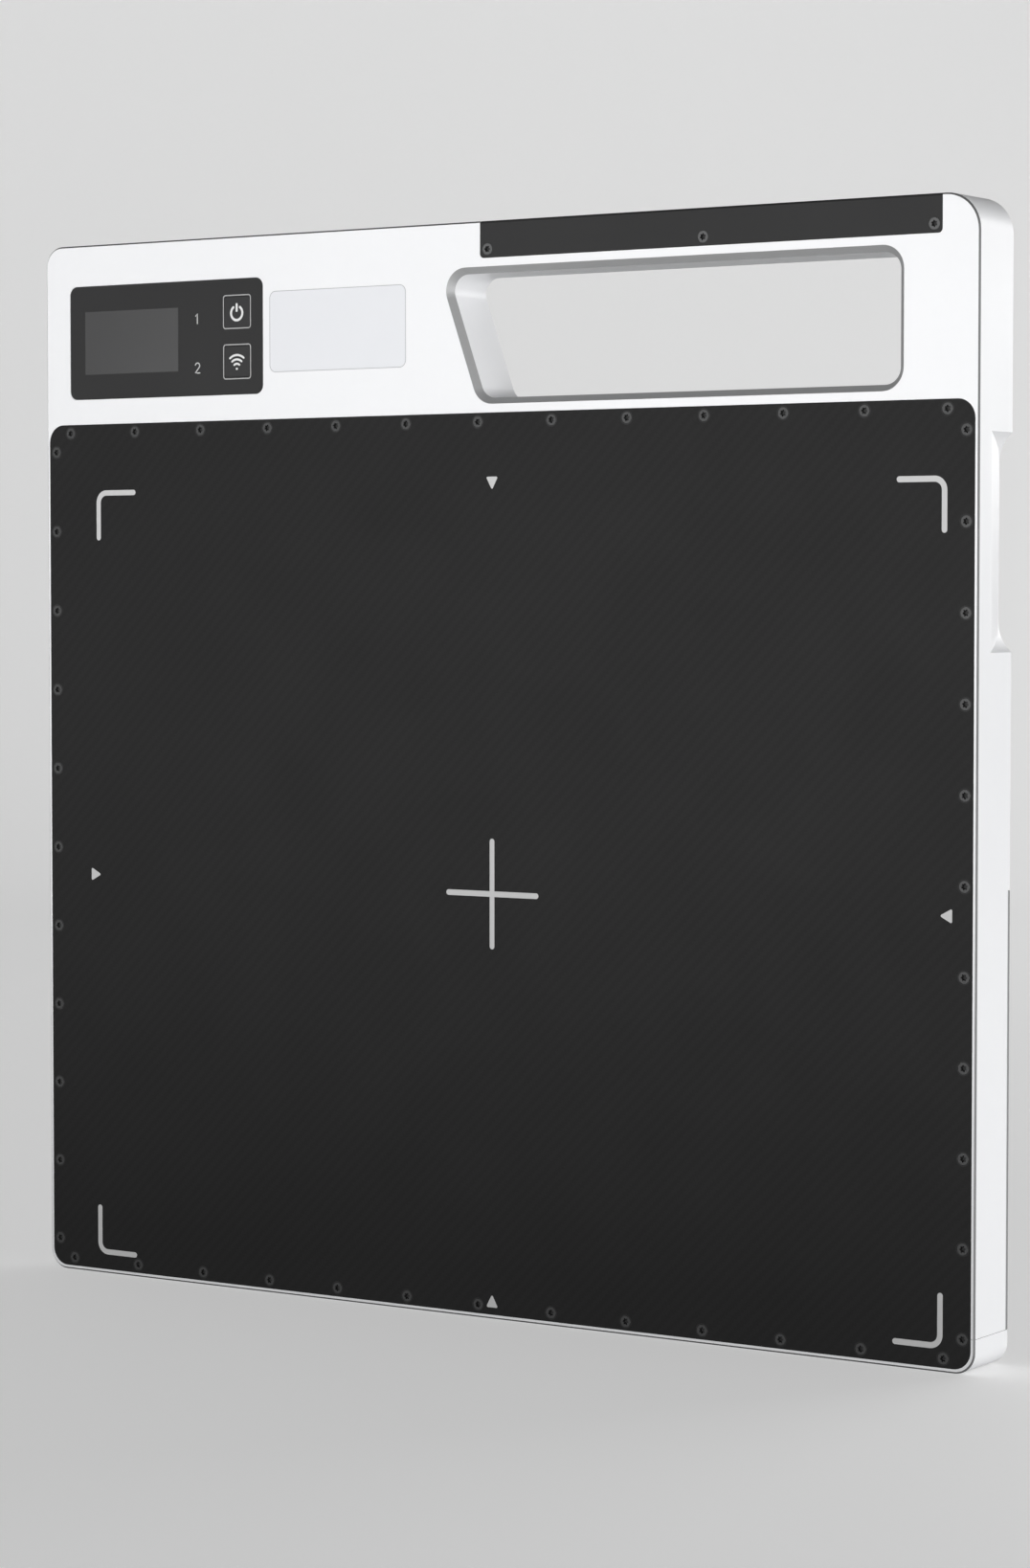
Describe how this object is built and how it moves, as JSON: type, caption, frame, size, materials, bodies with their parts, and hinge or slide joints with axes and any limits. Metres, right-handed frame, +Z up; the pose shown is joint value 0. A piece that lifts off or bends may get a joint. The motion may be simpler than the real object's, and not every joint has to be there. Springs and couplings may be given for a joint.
{
  "type": "x-ray flat panel detector",
  "caption": "Flat wireless x-ray detector with a dark carbon-fibre window, a control strip, a carrying hole with one slanted end, a removable battery in the back and finger scoops on its sides",
  "frame": {"origin": "the middle of the bottom edge, under the middle of the body's depth, with the detector standing upright on its bottom edge", "axes": "+X is to the right as seen by someone facing the x-ray window, +Y goes from the window through the body to the back, +Z is up towards the carrying bar"},
  "size_m": [0.471, 0.029, 0.4632],
  "materials": {
    "body_paint": "white satin powder coat",
    "carbon_laminate": "carbon-fibre twill laminate, satin",
    "dark_steel": "blackened steel",
    "dark_plastic": "fine-grained moulded plastic",
    "display_glass": "tinted, anti-glare",
    "display_dark": "smooth",
    "key_rubber": "matt silicone rubber",
    "label_film": "smooth film",
    "rear_metal": "anodised grey",
    "seal_rubber": "matt",
    "foam": "closed-cell foam",
    "phosphor": "matt phosphor layer",
    "sensor": "coated sensor glass",
    "lead": "rolled lead sheet",
    "core_board": "carbon-fibre sandwich board",
    "polyimide": "amber film",
    "circuit_board": "green solder mask",
    "chip_black": "moulded package",
    "tinned_steel": "tinned sheet",
    "cable_grey": "flat cable",
    "lead_black": "cable sleeve",
    "battery_shell": "textured moulded plastic",
    "cell_foil": "foil pouch",
    "gold_contact": "gold-plated"
  },
  "bodies": {
    "body": {"main_housing": "body_paint", "bottom_rail": "body_paint", "rail_screws": "dark_steel", "front_plate": "carbon_laminate", "front_plate_screws": "dark_steel", "front_seal": "seal_rubber", "handle_cover": "dark_plastic", "handle_cover_screws": "dark_steel", "rear_plate": "rear_metal", "rear_plate_screws": "dark_steel", "rear_seal": "seal_rubber", "foam_pad": "foam", "scintillator": "phosphor", "sensor_glass": "sensor", "lead_sheet": "lead", "support_plate": "core_board", "support_screws": "dark_steel", "gate_flexes": "polyimide", "readout_flexes": "polyimide", "board_spacers": "gold_contact", "board_chips": "chip_black", "shield_can": "tinned_steel", "board_cables": "cable_grey", "panel_ribbon": "cable_grey", "antennas": "circuit_board", "antenna_leads": "lead_black", "control_bezel": "dark_plastic", "display_window": "display_glass", "display_module": "display_dark", "key_board": "circuit_board", "key_switches": "tinned_steel", "label_plate": "label_film", "contact_block": "chip_black", "contact_pins": "gold_contact", "gate_board": "circuit_board", "readout_board": "circuit_board", "main_board": "circuit_board", "power_board": "circuit_board"},
    "power_key": {"power_key": "key_rubber"},
    "wireless_key": {"wireless_key": "key_rubber"},
    "battery": {"battery_case": "battery_shell", "battery_lid": "battery_shell", "battery_base": "battery_shell", "battery_cells": "cell_foil"},
    "right_latch": {"latch_right": "dark_plastic"},
    "left_latch": {"latch_left": "dark_plastic"}
  },
  "joints": [
    {"name": "power_key_press", "type": "slide", "parent": "body", "child": "power_key", "axis": [0, 1, 0], "range_m": [0, 0.0006], "stiffness_N_per_m": 3000},
    {"name": "wireless_key_press", "type": "slide", "parent": "body", "child": "wireless_key", "axis": [0, 1, 0], "range_m": [0, 0.0006], "stiffness_N_per_m": 3000},
    {"name": "battery_lift_out", "type": "slide", "parent": "body", "child": "battery", "axis": [0, 1, 0], "range_m": [0, 0.025]},
    {"name": "right_latch_close", "type": "slide", "parent": "body", "child": "right_latch", "axis": [-1, 0, 0], "range_m": [0, 0.004]},
    {"name": "left_latch_close", "type": "slide", "parent": "body", "child": "left_latch", "axis": [1, 0, 0], "range_m": [0, 0.004]}
  ]
}
